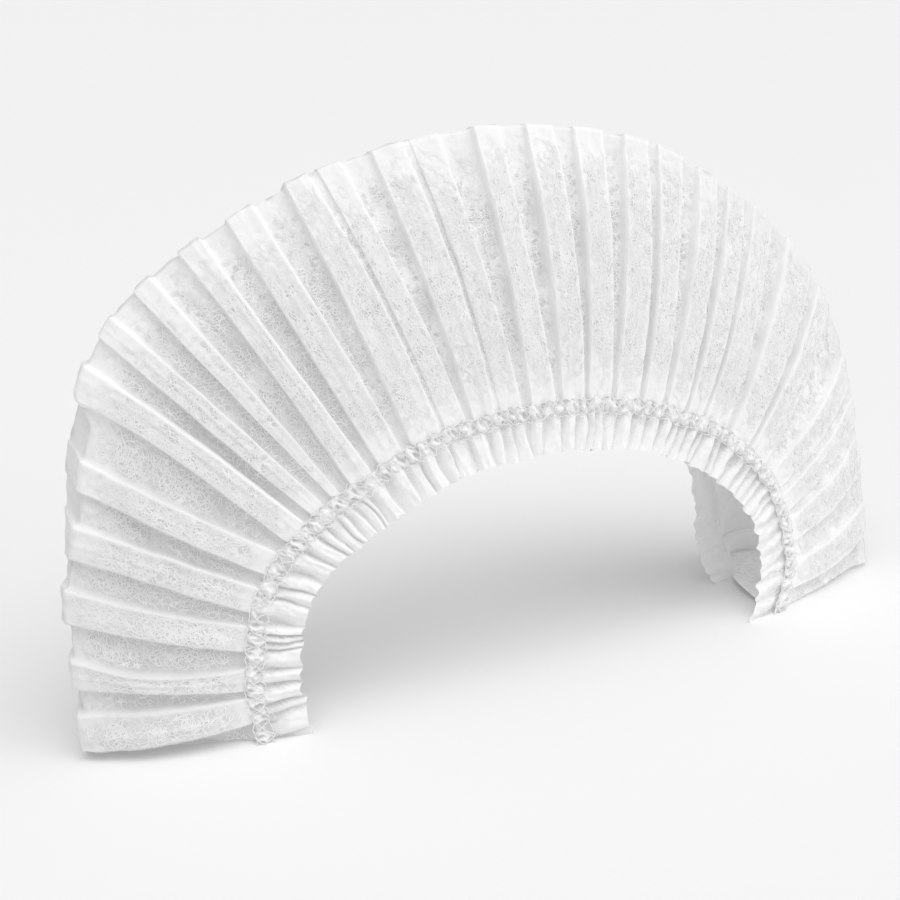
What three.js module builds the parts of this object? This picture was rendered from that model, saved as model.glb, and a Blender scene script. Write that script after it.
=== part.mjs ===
// A disposable pleated hair cap: one strip of soft non-woven cloth, folded over along its crown,
// gathered along both free edges by a stitched elastic, and closed at both ends.
// It stands as an arch on its two closed ends, so its mouth faces down and in.
// Millimetres, +Z up. X runs from the left foot to the right foot, Y from the front wall to the back
// wall, and the origin is on the floor under the middle of the cap.
import * as THREE from "three";

// Cloth
const CLOTH_WALL = 2; // across the pleats, which leaves 1 mm or more square to their slopes
const END_PANEL = 1.5; // thickness of the closed ends that lie on the floor
const FRILL_LENGTH = 11.5; // free edge beyond the elastic
const MOUTH_GAP = 24; // front wall to back wall at the elastic
const CROWN_GAP = 8; // front wall to back wall at the fold
const WALL_PUFF = 2; // swell of each wall between the elastic and the fold
const FOOT_SPREAD = 16; // how much further back each end's back wall stands on the floor
const FOOT_HEIGHT = 45; // height over which that fades out
const TOE_TURN = 7; // how far the right end's walls are turned on the floor, the front one inwards
const TOE_HEIGHT = 16; // height over which that fades out

// Elastic
const BAND_WIDTH = 4;
const BAND_EDGE = 0.9; // thickness along both edges
const BAND_CROWN = 1.5; // thickness along the middle
const BAND_CLEARANCE = 0.3; // to the cloth

// Stance: the front wall follows an upright sheet that bows to the front and leans back.
const BOW_SPAN = 100; // sideways distance at which the bow is measured
const BOW = 14.4; // how far the sheet falls back over that distance
const LEAN = 0.275; // backward shift for each millimetre of height
const CENTRE_X = 0.995; // middle of the cap before it is put over the origin
const CENTRE_Y = 29.755;

// Front view of the arch: a row for each section, from the left foot over the top to the right foot.
const SECTIONS = [
  { elasticX: -80.5, elasticZ: 0, foldX: -119.5, foldZ: 0 },
  { elasticX: -80.5, elasticZ: 16, foldX: -119.5, foldZ: 23 },
  { elasticX: -77.5, elasticZ: 30, foldX: -118, foldZ: 46 },
  { elasticX: -70.5, elasticZ: 41, foldX: -114.5, foldZ: 70 },
  { elasticX: -60, elasticZ: 49.5, foldX: -102, foldZ: 96 },
  { elasticX: -46, elasticZ: 57.2, foldX: -78.5, foldZ: 114 },
  { elasticX: -25, elasticZ: 65.2, foldX: -46, foldZ: 129 },
  { elasticX: 0, elasticZ: 67.5, foldX: -3, foldZ: 136 },
  { elasticX: 26, elasticZ: 65, foldX: 41.5, foldZ: 130 },
  { elasticX: 45, elasticZ: 59, foldX: 73, foldZ: 115 },
  { elasticX: 60, elasticZ: 51, foldX: 97, foldZ: 98 },
  { elasticX: 71, elasticZ: 41.5, foldX: 113, foldZ: 78 },
  { elasticX: 78.5, elasticZ: 30, foldX: 120, foldZ: 54 },
  { elasticX: 81, elasticZ: 15, foldX: 122, foldZ: 26 },
  { elasticX: 80, elasticZ: 0, foldX: 120, foldZ: 0 },
];

// The pleats, from the left foot to the right foot. lower and upper are the two creases of a pleat's flat
// top, as shares of the way along the strip at the elastic, in the middle of the wall and at the fold, and
// height is that of the flat top.
const PLEATS = [
  { lower: [0.0205, 0.0152, 0.0064], upper: [0.0424, 0.036, 0.0303], height: 1 },
  { lower: [0.05, 0.0508, 0.0482], upper: [0.0697, 0.0621, 0.0655], height: 0.8 },
  { lower: [0.0871, 0.0897, 0.0886], upper: [0.1094, 0.1076, 0.1073], height: 0.9 },
  { lower: [0.1235, 0.1288, 0.1265], upper: [0.1462, 0.1462, 0.1439], height: 1.1 },
  { lower: [0.1614, 0.1659, 0.1636], upper: [0.183, 0.1791, 0.1776], height: 1 },
  { lower: [0.197, 0.2053, 0.2008], upper: [0.22, 0.2197, 0.2149], height: 1.1 },
  { lower: [0.2318, 0.2321, 0.2296], upper: [0.2447, 0.2436, 0.2397], height: 0.7 },
  { lower: [0.2565, 0.2576, 0.2568], upper: [0.2636, 0.267, 0.2667], height: 0.7 },
  { lower: [0.278, 0.286, 0.2864], upper: [0.3008, 0.2992, 0.3], height: 1.1 },
  { lower: [0.3121, 0.3167, 0.319], upper: [0.3379, 0.337, 0.3365], height: 1 },
  { lower: [0.35, 0.3583, 0.3613], upper: [0.3826, 0.3826, 0.3765], height: 1 },
  { lower: [0.3886, 0.3879, 0.3833], upper: [0.4121, 0.4045, 0.3977], height: 0.9 },
  { lower: [0.4204, 0.4204, 0.4182], upper: [0.4447, 0.4427, 0.4364], height: 1 },
  { lower: [0.4523, 0.4477, 0.4417], upper: [0.4758, 0.4652, 0.4598], height: 0.9 },
  { lower: [0.4879, 0.4864, 0.4833], upper: [0.5159, 0.503, 0.5], height: 1 },
  { lower: [0.525, 0.522, 0.5189], upper: [0.5515, 0.5424, 0.5379], height: 1 },
  { lower: [0.5576, 0.5573, 0.553], upper: [0.5848, 0.5765, 0.5742], height: 0.9 },
  { lower: [0.5924, 0.5924, 0.5917], upper: [0.6212, 0.6144, 0.6106], height: 1 },
  { lower: [0.6288, 0.6258, 0.6197], upper: [0.6545, 0.6432, 0.6424], height: 0.9 },
  { lower: [0.6629, 0.6606, 0.6576], upper: [0.688, 0.6788, 0.6742], height: 0.8 },
  { lower: [0.694, 0.6917, 0.6864], upper: [0.714, 0.7076, 0.703], height: 0.7 },
  { lower: [0.7197, 0.7152, 0.7136], upper: [0.7546, 0.7371, 0.7356], height: 0.9 },
  { lower: [0.7652, 0.7591, 0.755], upper: [0.7939, 0.7864, 0.7879], height: 0.9 },
  { lower: [0.8015, 0.8008, 0.803], upper: [0.8318, 0.8197, 0.8197], height: 0.8 },
  { lower: [0.846, 0.855, 0.858], upper: [0.868, 0.873, 0.876], height: 0.6 },
  { lower: [0.878, 0.882, 0.885], upper: [0.898, 0.899, 0.902], height: 0.6 },
  { lower: [0.909, 0.91, 0.911], upper: [0.932, 0.932, 0.932], height: 0.7 },
  { lower: [0.957, 0.957, 0.957], upper: [0.981, 0.979, 0.975], height: 0.6 },
];
const VALLEY_START = 0.38; // where the floor of a valley starts and ends on the way between two pleats
const VALLEY_END = 0.62;
const WIDE_VALLEY = 0.012; // share of the strip from which a valley has its full depth

// Half of the cloth's profile, from the free edge to the fold. reach is the share of the way from the
// elastic to the fold, offset a distance along it, crown the outward share of the way that the cloth
// faces, and pleat the depth of a pleat to each side.
const HALF_PROFILE = [
  { name: "frill edge", reach: 0, offset: -FRILL_LENGTH, crown: 0, pleat: 1.3 },
  { name: "below the band", reach: 0, offset: -BAND_WIDTH / 2, crown: 0, pleat: 0.6 },
  { name: "above the band", reach: 0, offset: BAND_WIDTH / 2, crown: 0, pleat: 0.6 },
  { name: "lower wall", reach: 0.35, offset: 0, crown: 0, pleat: 1.8 },
  { name: "upper wall", reach: 0.7, offset: 0, crown: 0, pleat: 2 },
  { name: "crown corner", reach: 1, offset: 0, crown: 1, pleat: 0.9 },
];
const FRONT = -1;
const BACK = 1;

const lineThrough = (x, z) =>
  new THREE.CatmullRomCurve3(
    SECTIONS.map((section) => new THREE.Vector3(section[x], 0, section[z])),
    false,
    "catmullrom",
  );
const elasticLine = lineThrough("elasticX", "elasticZ");
const foldLine = lineThrough("foldX", "foldZ");

// The columns of the cloth: the creases of the pleats and, between them, the floors of the valleys.
function pleatColumns() {
  const start = { creases: [0, 0, 0], ridge: -1 };
  const end = { creases: [1, 1, 1], ridge: -1 };
  const columns = [start];
  let last = start.creases;
  const between = (next, part) => last.map((share, i) => THREE.MathUtils.lerp(share, next[i], part));
  const valley = (next) => {
    const ridge = -Math.min(1, (next[1] - last[1]) / WIDE_VALLEY);
    columns.push({ creases: between(next, VALLEY_START), ridge });
    columns.push({ creases: between(next, VALLEY_END), ridge });
  };
  PLEATS.forEach(({ lower, upper, height }) => {
    valley(lower);
    columns.push({ creases: lower, ridge: height });
    columns.push({ creases: upper, ridge: height });
    last = upper;
  });
  valley(end.creases);
  return [...columns, end];
}

// A column's share of the way along the strip at a reach, on a parabola through its three creases.
function shareOf([elastic, middle, fold], reach) {
  const bend = 2 * (elastic + fold - 2 * middle);
  return elastic + reach * (fold - elastic - bend * (1 - reach));
}

// The line from the elastic to the fold at a share of the elastic's length.
function ribAt(share) {
  const t = elasticLine.getUtoTmapping(share);
  const elastic = elasticLine.getPoint(t);
  const span = foldLine.getPoint(t).sub(elastic);
  return { elastic, length: span.length(), outward: span.normalize() };
}

// A point of the cap: on a column, at a row of the profile, on the front or back wall, and lift
// millimetres outwards from the middle of the cloth.
function pointOf(column, row, side, lift) {
  const rib = ribAt(shareOf(column.creases, row.reach));
  const reach = row.reach + row.offset / rib.length;
  const wall = THREE.MathUtils.clamp(reach, 0, 1);
  const point = rib.elastic.addScaledVector(rib.outward, reach * rib.length);
  if (point.x > 0) {
    point.x += side * TOE_TURN * (1 - wall) * Math.max(0, 1 - point.z / TOE_HEIGHT) ** 2;
  }
  const across = new THREE.Vector3((-2 * BOW * point.x) / BOW_SPAN ** 2, 1, 0).normalize();
  point.y = BOW * (point.x / BOW_SPAN) ** 2 + LEAN * point.z;
  const swell = Math.sin(Math.PI * wall);
  const spread = FOOT_SPREAD * swell * Math.max(0, 1 - point.z / FOOT_HEIGHT) ** 2;
  const gap = MOUTH_GAP + (CROWN_GAP - MOUTH_GAP) * wall ** 2 + spread;
  const facing = across.clone().multiplyScalar(side).addScaledVector(rib.outward, row.crown);
  return point
    .addScaledVector(across, side === BACK ? gap : 0)
    .addScaledVector(across, side * swell * WALL_PUFF)
    .addScaledVector(facing, column.ridge * row.pleat + lift)
    .sub(new THREE.Vector3(CENTRE_X, CENTRE_Y, 0));
}

// A closed surface collected point by point and face by face.
class Surface {
  positions = [];
  faces = [];
  add(point) {
    this.positions.push(point.x, point.y, point.z);
    return this.positions.length / 3 - 1;
  }
  quad(a, b, c, d) {
    this.faces.push(a, b, c, a, c, d);
  }
  // The skin between two rings of equal length, whose points run round the solid.
  join(ring, next) {
    ring.forEach((point, i) => {
      const after = (i + 1) % ring.length;
      this.quad(point, next[i], next[after], ring[after]);
    });
  }
  geometry() {
    const geometry = new THREE.BufferGeometry();
    geometry.setAttribute("position", new THREE.Float32BufferAttribute(this.positions, 3));
    geometry.setIndex(this.faces);
    geometry.computeVertexNormals();
    return geometry;
  }
}

// The cloth: its profile runs from the front free edge over the crown to the back free edge, as an
// outer and an inner skin, and each end is closed by a panel that lies on the floor.
function clothGeometry(columns) {
  const profile = [
    ...HALF_PROFILE.map((row) => ({ row, side: FRONT })),
    ...HALF_PROFILE.map((row) => ({ row, side: BACK })).reverse(),
  ];
  const surface = new Surface();
  const skin = (column, lift, panel) =>
    profile.map(({ row, side }) => {
      const point = pointOf(column, row, side, lift);
      point.z = Math.max(point.z, row.offset < 0 ? 0 : panel);
      return surface.add(point);
    });
  const last = columns.length - 1;
  const outer = columns.map((column) => skin(column, CLOTH_WALL / 2, 0));
  const inner = columns.map((column) => skin(column, -CLOTH_WALL / 2, END_PANEL));
  const rings = columns.map((_, i) => [...outer[i], ...inner[i].toReversed()]);
  for (let i = 0; i < last; i++) surface.join(rings[i], rings[i + 1]);
  closeEnd(surface, outer[0].toReversed(), inner[0].toReversed());
  closeEnd(surface, outer[last], inner[last]);
  return surface.geometry();
}

// An end: the two frills stop at the floor, and above the elastics a panel that lies on the floor closes
// the cap from its front wall to its back wall.
function closeEnd(surface, outer, inner) {
  const edge = outer.length - 1;
  const mouth = HALF_PROFILE.findIndex((row) => row.offset > 0);
  for (let i = 0; i < mouth; i++) {
    surface.quad(outer[i], inner[i], inner[i + 1], outer[i + 1]);
    surface.quad(outer[edge - i - 1], inner[edge - i - 1], inner[edge - i], outer[edge - i]);
  }
  surface.quad(outer[mouth], inner[mouth], inner[edge - mouth], outer[edge - mouth]);
  for (let i = mouth; i < outer.length / 2 - 1; i++) {
    surface.quad(outer[i], outer[edge - i], outer[edge - i - 1], outer[i + 1]);
    surface.quad(inner[i], inner[i + 1], inner[edge - i - 1], inner[edge - i]);
  }
}

// An elastic: a flat band with a crowned face that follows the gathers on the outside of one wall.
function elasticGeometry(columns, side) {
  const seat = CLOTH_WALL / 2 + BAND_CLEARANCE;
  const [lower, upper] = HALF_PROFILE.filter((row) => row.name.endsWith("the band"));
  const middle = { ...lower, offset: 0 };
  const section = [
    { row: lower, lift: seat },
    { row: upper, lift: seat },
    { row: upper, lift: seat + BAND_EDGE },
    { row: middle, lift: seat + BAND_CROWN },
    { row: lower, lift: seat + BAND_EDGE },
  ];
  const ordered = side === FRONT ? section.toReversed() : section;
  const surface = new Surface();
  const rings = columns.map((column) =>
    ordered.map(({ row, lift }) => surface.add(pointOf(column, row, side, lift))),
  );
  for (let i = 0; i + 1 < rings.length; i++) surface.join(rings[i], rings[i + 1]);
  const fan = ([first, ...rest]) =>
    rest.slice(1).forEach((point, i) => surface.faces.push(first, rest[i], point));
  fan(rings[0]);
  fan(rings[rings.length - 1].toReversed());
  return surface.geometry();
}

const nonWoven = new THREE.MeshStandardMaterial({ color: 0xf3f3f2, roughness: 0.85, metalness: 0 });
const elasticYarn = new THREE.MeshStandardMaterial({ color: 0xebebe8, roughness: 0.7, metalness: 0 });

const columns = pleatColumns();
const cap = new THREE.Group();
const pieces = [
  ["pleated_cloth", clothGeometry(columns), nonWoven],
  ["front_elastic", elasticGeometry(columns, FRONT), elasticYarn],
  ["back_elastic", elasticGeometry(columns, BACK), elasticYarn],
];
for (const [name, geometry, material] of pieces) {
  const mesh = new THREE.Mesh(geometry, material);
  mesh.name = name;
  cap.add(mesh);
}

export default cap;
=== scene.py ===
"""Dresses a disposable pleated hair cap that stands as an arch on its two closed ends.

The cloth, its frills, the stitched elastics and the loose filaments are worked out in millimetres from the
same sizes as the solids, and turned into metres when their meshes are made.
"""
import logging
import math
from dataclasses import dataclass, field
from enum import Enum

import bpy
import numpy as np
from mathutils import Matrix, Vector


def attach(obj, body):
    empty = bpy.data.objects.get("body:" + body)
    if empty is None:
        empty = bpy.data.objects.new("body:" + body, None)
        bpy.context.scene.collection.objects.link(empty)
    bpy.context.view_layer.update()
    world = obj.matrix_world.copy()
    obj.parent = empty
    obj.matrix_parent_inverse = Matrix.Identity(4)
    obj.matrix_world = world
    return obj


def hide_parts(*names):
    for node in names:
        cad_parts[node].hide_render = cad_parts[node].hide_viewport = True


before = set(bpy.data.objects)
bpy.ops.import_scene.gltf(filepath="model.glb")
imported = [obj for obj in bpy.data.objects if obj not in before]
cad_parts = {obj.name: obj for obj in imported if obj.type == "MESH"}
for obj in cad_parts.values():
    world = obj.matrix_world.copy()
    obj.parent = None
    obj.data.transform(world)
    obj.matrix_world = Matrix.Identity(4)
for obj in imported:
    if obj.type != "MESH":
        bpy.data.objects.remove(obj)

LOG = logging.getLogger("hair_cap")
MM = 0.001
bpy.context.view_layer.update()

Value = bpy.types.NodeSocket | float | tuple[float, ...]

# Front view of the arch, in columns elastic x, elastic z, fold x, fold z: a row for each section, from the
# left foot over the top to the right foot.
SECTIONS = np.array([
    (-80.5, 0, -119.5, 0),
    (-80.5, 16, -119.5, 23),
    (-77.5, 30, -118, 46),
    (-70.5, 41, -114.5, 70),
    (-60, 49.5, -102, 96),
    (-46, 57.2, -78.5, 114),
    (-25, 65.2, -46, 129),
    (0, 67.5, -3, 136),
    (26, 65, 41.5, 130),
    (45, 59, 73, 115),
    (60, 51, 97, 98),
    (71, 41.5, 113, 78),
    (78.5, 30, 120, 54),
    (81, 15, 122, 26),
    (80, 0, 120, 0),
], float)

# The pleats, a row for each from the left foot to the right foot: the lower and then the upper crease of its
# flat top, each as shares of the way along the strip at the elastic, in the middle of the wall and at the
# fold, and last the height of the flat top.
PLEATS = np.array([
    (0.0205, 0.0152, 0.0064, 0.0424, 0.0360, 0.0303, 1.0),
    (0.0500, 0.0508, 0.0482, 0.0697, 0.0621, 0.0655, 0.8),
    (0.0871, 0.0897, 0.0886, 0.1094, 0.1076, 0.1073, 0.9),
    (0.1235, 0.1288, 0.1265, 0.1462, 0.1462, 0.1439, 1.1),
    (0.1614, 0.1659, 0.1636, 0.1830, 0.1791, 0.1776, 1.0),
    (0.1970, 0.2053, 0.2008, 0.2200, 0.2197, 0.2149, 1.1),
    (0.2318, 0.2321, 0.2296, 0.2447, 0.2436, 0.2397, 0.7),
    (0.2565, 0.2576, 0.2568, 0.2636, 0.2670, 0.2667, 0.7),
    (0.2780, 0.2860, 0.2864, 0.3008, 0.2992, 0.3000, 1.1),
    (0.3121, 0.3167, 0.3190, 0.3379, 0.3370, 0.3365, 1.0),
    (0.3500, 0.3583, 0.3613, 0.3826, 0.3826, 0.3765, 1.0),
    (0.3886, 0.3879, 0.3833, 0.4121, 0.4045, 0.3977, 0.9),
    (0.4204, 0.4204, 0.4182, 0.4447, 0.4427, 0.4364, 1.0),
    (0.4523, 0.4477, 0.4417, 0.4758, 0.4652, 0.4598, 0.9),
    (0.4879, 0.4864, 0.4833, 0.5159, 0.5030, 0.5000, 1.0),
    (0.5250, 0.5220, 0.5189, 0.5515, 0.5424, 0.5379, 1.0),
    (0.5576, 0.5573, 0.5530, 0.5848, 0.5765, 0.5742, 0.9),
    (0.5924, 0.5924, 0.5917, 0.6212, 0.6144, 0.6106, 1.0),
    (0.6288, 0.6258, 0.6197, 0.6545, 0.6432, 0.6424, 0.9),
    (0.6629, 0.6606, 0.6576, 0.6880, 0.6788, 0.6742, 0.8),
    (0.6940, 0.6917, 0.6864, 0.7140, 0.7076, 0.7030, 0.7),
    (0.7197, 0.7152, 0.7136, 0.7546, 0.7371, 0.7356, 0.9),
    (0.7652, 0.7591, 0.7550, 0.7939, 0.7864, 0.7879, 0.9),
    (0.8015, 0.8008, 0.8030, 0.8318, 0.8197, 0.8197, 0.7),
    (0.8460, 0.8550, 0.8580, 0.8680, 0.8730, 0.8760, 0.4),
    (0.8780, 0.8820, 0.8850, 0.8980, 0.8990, 0.9020, 0.4),
    (0.9090, 0.9100, 0.9110, 0.9320, 0.9320, 0.9320, 0.5),
    (0.9570, 0.9570, 0.9570, 0.9810, 0.9790, 0.9750, 0.4),
], float)

# Across a flat top and across a valley, in columns part of the way, level from 0 on the valley's floor to 1
# on the flat top, and how far a crease reaches over the valley, as a share of the full overhang.
TOP_SHAPE = (
    (0.00, 0.96, -1.0),
    (0.04, 1.00, -0.6),
    (0.18, 0.99, -0.2),
    (0.34, 0.96, 0.0),
    (0.50, 0.95, 0.0),
    (0.66, 0.96, 0.0),
    (0.82, 0.99, 0.1),
    (0.96, 1.03, 0.4),
    (1.00, 1.00, 0.7),
)
VALLEY_SHAPE = (
    (0.025, 0.64, 0.55),
    (0.06, 0.18, 0.25),
    (0.13, 0.04, 0.0),
    (0.27, 0.00, 0.0),
    (0.42, 0.00, 0.0),
    (0.57, 0.00, 0.0),
    (0.72, 0.00, 0.0),
    (0.86, 0.03, 0.0),
    (0.94, 0.16, -0.3),
    (0.975, 0.62, -0.8),
)

# Families of filaments in the web, in columns x, y and z of the way that they repeat in, their spacing in
# millimetres, and how much they curl.
FILAMENTS = (
    (0.80, 0.30, 0.52, 1.9, 0.95),
    (-0.45, 0.25, 0.86, 2.3, 0.80),
    (0.10, 0.35, 0.93, 1.7, 1.00),
    (0.97, -0.20, -0.12, 2.6, 0.70),
    (-0.70, 0.30, -0.65, 2.0, 0.90),
)

# How far the pleats stand out, in columns reach from 0 at the elastic to 1 at the fold, and millimetres.
RELIEF = np.array([
    (0.00, 0.5),
    (0.05, 1.0),
    (0.28, 1.7),
    (0.66, 1.7),
    (0.84, 1.2),
    (0.95, 1.0),
    (1.00, 1.0),
])

# Where the valleys grow denser along the strip, and so carry less painted shade, in columns by how much, and
# the shares of the strip between which that comes about.
PALE_VALLEYS = (
    (0.12, 0.10, 0.20),
    (0.30, 0.25, 0.42),
    (0.25, 0.72, 0.88),
)

# Lengths in millimetres over which ripples are laid out: the strip, a wall from elastic to fold, and a
# distance between front and back that gives each wall ripples of its own.
STRIP = 330.0
WALL = 75.0
APART = 60.0


class Side(Enum):
    """A wall of the cap, and the sign of the way that it faces along Y."""

    FRONT = -1
    BACK = 1


class Stretch(Enum):
    """Changes along the strip, each as the shares of the strip between which it comes about."""

    SLANT_TURNS = (0.0, 0.55)
    LEFT_THICKENS = (0.08, 0.26)
    # Painted shade on the left end, darker and more see-through, fades out here.
    FOLD_TURNS_BACK = (0.1, 0.165)
    FOLD_STANDS_AGAIN = (0.193, 0.204)
    PATCHES_CLOSE = (0.22, 0.45)
    CROWN_SMOOTHS = (0.33, 0.45)
    BACK_FRILL_SHORTENS = (0.5, 0.66)
    FOLD_THINS = (0.5, 0.75)
    NOTCHES_END = (0.6, 0.76)
    LOBES_ROUND = (0.64, 0.8)
    INSIDE_SHOWS = (0.7, 0.82)
    RIGHT_END = (0.78, 0.9)
    BACK_FRILL_LENGTHENS = (0.82, 0.92)

    def at(self, share: np.ndarray) -> np.ndarray:
        """How far the change has come at each share, from 0 to 1."""
        return ease(*self.value, share)


def ease(low: float, high: float | np.ndarray, value: np.ndarray) -> np.ndarray:
    """A smooth step from 0 at low to 1 at high.

    Args:
        low: Where the step starts.
        high: Where the step ends, for all values or for each.
        value: Where it is read.

    Returns:
        The step's height at each value.
    """
    x = np.clip((np.asarray(value, float) - low) / (high - low), 0, 1)
    return x * x * (3 - 2 * x)


def spline(table: np.ndarray, place: np.ndarray) -> np.ndarray:
    """Points on a uniform Catmull-Rom line through the rows of a table.

    Args:
        table: One row for each knot.
        place: Positions along the line, counted in knots.

    Returns:
        One row for each position.
    """
    knots = np.vstack([2 * table[0] - table[1], table, 2 * table[-1] - table[-2]])
    start = np.clip(np.floor(place).astype(int), 0, len(table) - 2)
    w = (place - start)[:, None]
    a, b, c, d = (knots[start + step] for step in range(4))
    return b + 0.5 * w * (c - a + w * (2 * a - 5 * b + 4 * c - d + w * (3 * (b - c) + d - a)))


@dataclass(frozen=True)
class Ripple:
    """Smooth irregular ripples: a sum of plane waves with seeded directions and phases."""

    length: float
    seed: int
    waves: int = 14

    def at(self, x: np.ndarray, y: np.ndarray) -> np.ndarray:
        """The ripple's height, about -1 to 1.

        Args:
            x: First coordinate, in the unit of length.
            y: Second coordinate, of a shape that broadcasts with x.

        Returns:
            Heights in the broadcast shape.
        """
        rng = np.random.default_rng(self.seed)
        height = 0.0
        for _ in range(self.waves):
            turn, phase = rng.uniform(0, 2 * math.pi, 2)
            pitch = self.length * rng.uniform(0.6, 1.7)
            height = height + np.sin(2 * math.pi * (x * math.cos(turn) + y * math.sin(turn)) / pitch + phase)
        return height / math.sqrt(self.waves)


@dataclass(frozen=True)
class Arch:
    """The stance of the cap: where its walls, fold and elastics run."""

    bow_span: float = 100.0
    bow: float = 14.4
    lean: float = 0.275
    centre_x: float = 0.995
    centre_y: float = 29.755
    mouth_gap: float = 24.0
    crown_gap: float = 8.0
    wall_puff: float = 2.0
    foot_spread: float = 16.0
    foot_height: float = 45.0
    toe_turn: float = 7.0
    toe_height: float = 16.0

    def lines(self, share: np.ndarray) -> tuple[np.ndarray, np.ndarray]:
        """The elastic and the fold at shares of the elastic's length.

        Args:
            share: From 0 at the left foot to 1 at the right foot, in any shape.

        Returns:
            Elastic points and fold points, both as x and z.
        """
        knots = np.linspace(0, len(SECTIONS) - 1, 3000)
        line = spline(SECTIONS[:, :2], knots)
        run = np.concatenate([[0], np.cumsum(np.linalg.norm(np.diff(line, axis=0), axis=1))])
        both = spline(SECTIONS, np.interp(share.ravel(), run / run[-1], knots)).reshape(*share.shape, 4)
        return both[..., :2], both[..., 2:]

    def place(
        self, share: np.ndarray, reach: np.ndarray, offset: np.ndarray, depth: np.ndarray
    ) -> tuple[np.ndarray, np.ndarray, np.ndarray]:
        """The smooth cap without pleats, as a grid of columns by rows.

        Args:
            share: The whole grid's shares of the way along the strip.
            reach: Share of the way from elastic to fold, for each row or point.
            offset: Further distance along that way, for each row or point.
            depth: From 0 on the front wall to 1 on the back wall, for each row or point.

        Returns:
            Points, the way across from front to back, and the way out from elastic to fold.
        """
        elastic, fold = self.lines(share)
        span = fold - elastic
        length = np.linalg.norm(span, axis=-1)
        out = span / length[..., None]
        along = reach * length + offset
        wall = np.clip(along / length, 0, 1)
        x = elastic[..., 0] + out[..., 0] * along
        z = elastic[..., 1] + out[..., 1] * along
        side = 2 * depth - 1
        low = np.clip(1 - z / self.toe_height, 0, 1) ** 2
        x = x + (x > 0) * side * self.toe_turn * (1 - wall) * low
        across = np.stack([-2 * self.bow * x / self.bow_span**2, np.ones_like(x), np.zeros_like(x)], -1)
        across /= np.linalg.norm(across, axis=-1, keepdims=True)
        swell = np.sin(math.pi * wall)
        spread = self.foot_spread * swell * np.clip(1 - z / self.foot_height, 0, 1) ** 2
        gap = self.mouth_gap + (self.crown_gap - self.mouth_gap) * wall**2 + spread
        y = self.bow * (x / self.bow_span) ** 2 + self.lean * z
        points = np.stack([x - self.centre_x, y - self.centre_y, z], -1)
        points += across * (depth * gap + side * swell * self.wall_puff)[..., None]
        return points, across, np.stack([out[..., 0], 0 * length, out[..., 1]], -1)


@dataclass(frozen=True)
class PleatPlan:
    """How the strip is laid: flat-topped pleats with sharp creases, and valleys between them."""

    wide_valley: float = 0.012
    overhang: float = 0.6
    widest: float = 0.0017
    set_back: float = 1.8
    seed: int = 7

    def strips(self) -> tuple[np.ndarray, np.ndarray, np.ndarray, np.ndarray, np.ndarray]:
        """The columns of the cloth, with each crease on one.

        Returns:
            For each column its shares at the elastic, in the middle of the wall and at the fold, its pleat,
            its height from -1 in a valley to about 1 on a flat top, its overhang in millimetres, and its
            density from 0 in a valley to 1 along a crease, which also whitens the crease as a painted
            highlight.
        """
        rng = np.random.default_rng(self.seed)
        lower, upper, tall = PLEATS[:, :3], PLEATS[:, 3:6], PLEATS[:, 6]
        starts = np.vstack([np.zeros(3), upper])
        ends = np.vstack([lower, np.ones(3)])
        last = len(PLEATS)
        columns = [(*starts[0], 0, -1.0 - self.set_back, 0.0, 0.2)]
        for i, (start, end) in enumerate(zip(starts, ends)):
            deep = min(1.0, (end[1] - start[1]) / self.wide_valley) ** 1.5
            lean = self.overhang * deep * rng.uniform(0.3, 1.5, 2)
            for part, level, reach in VALLEY_SHAPE:
                after = part > 0.5
                edge = (i < last) if after else (i > 0)
                own = min(i, last - 1) if after else max(i - 1, 0)
                top = tall[own]
                height = top - (top + 1) * deep * (1 - level * edge)
                height -= self.set_back * (i in (0, last)) * (1 - level * edge)
                columns.append((
                    *(start + part * (end - start)), own,
                    height, reach * lean[int(after)] * edge, max(level * edge, 0.68 * (1 - deep)),
                ))
            if i == last:
                continue
            tilt, sag = rng.uniform(-0.18, 0.3), rng.uniform(0.2, 2.2)
            extra = rng.choice([0.34, 0.5, 0.66, 2.0])
            for part, level, reach in TOP_SHAPE:
                ridge = float(part == extra)
                height = tall[i] * (1 - sag * (1 - level)) + tilt * (part - 0.5) + 0.12 * ridge
                columns.append((
                    *(lower[i] + part * (upper[i] - lower[i])), i,
                    height, reach * lean[1], 0.72 + 0.28 * max(abs(2 * part - 1) ** 4, 0.6 * ridge),
                ))
        columns.append((*ends[-1], last - 1, -1.0 - self.set_back, 0.0, 0.2))
        table = np.array(columns)
        finer = [table[:1]]
        for before, after in zip(table[:-1], table[1:]):
            count = math.ceil((after[0] - before[0]) / self.widest)
            finer.append(before + (after - before) * np.linspace(0, 1, count + 1)[1:, None])
        table = np.concatenate(finer)
        return table[:, :3], np.round(table[:, 3]).astype(int), table[:, 4], table[:, 5], table[:, 6]


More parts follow.
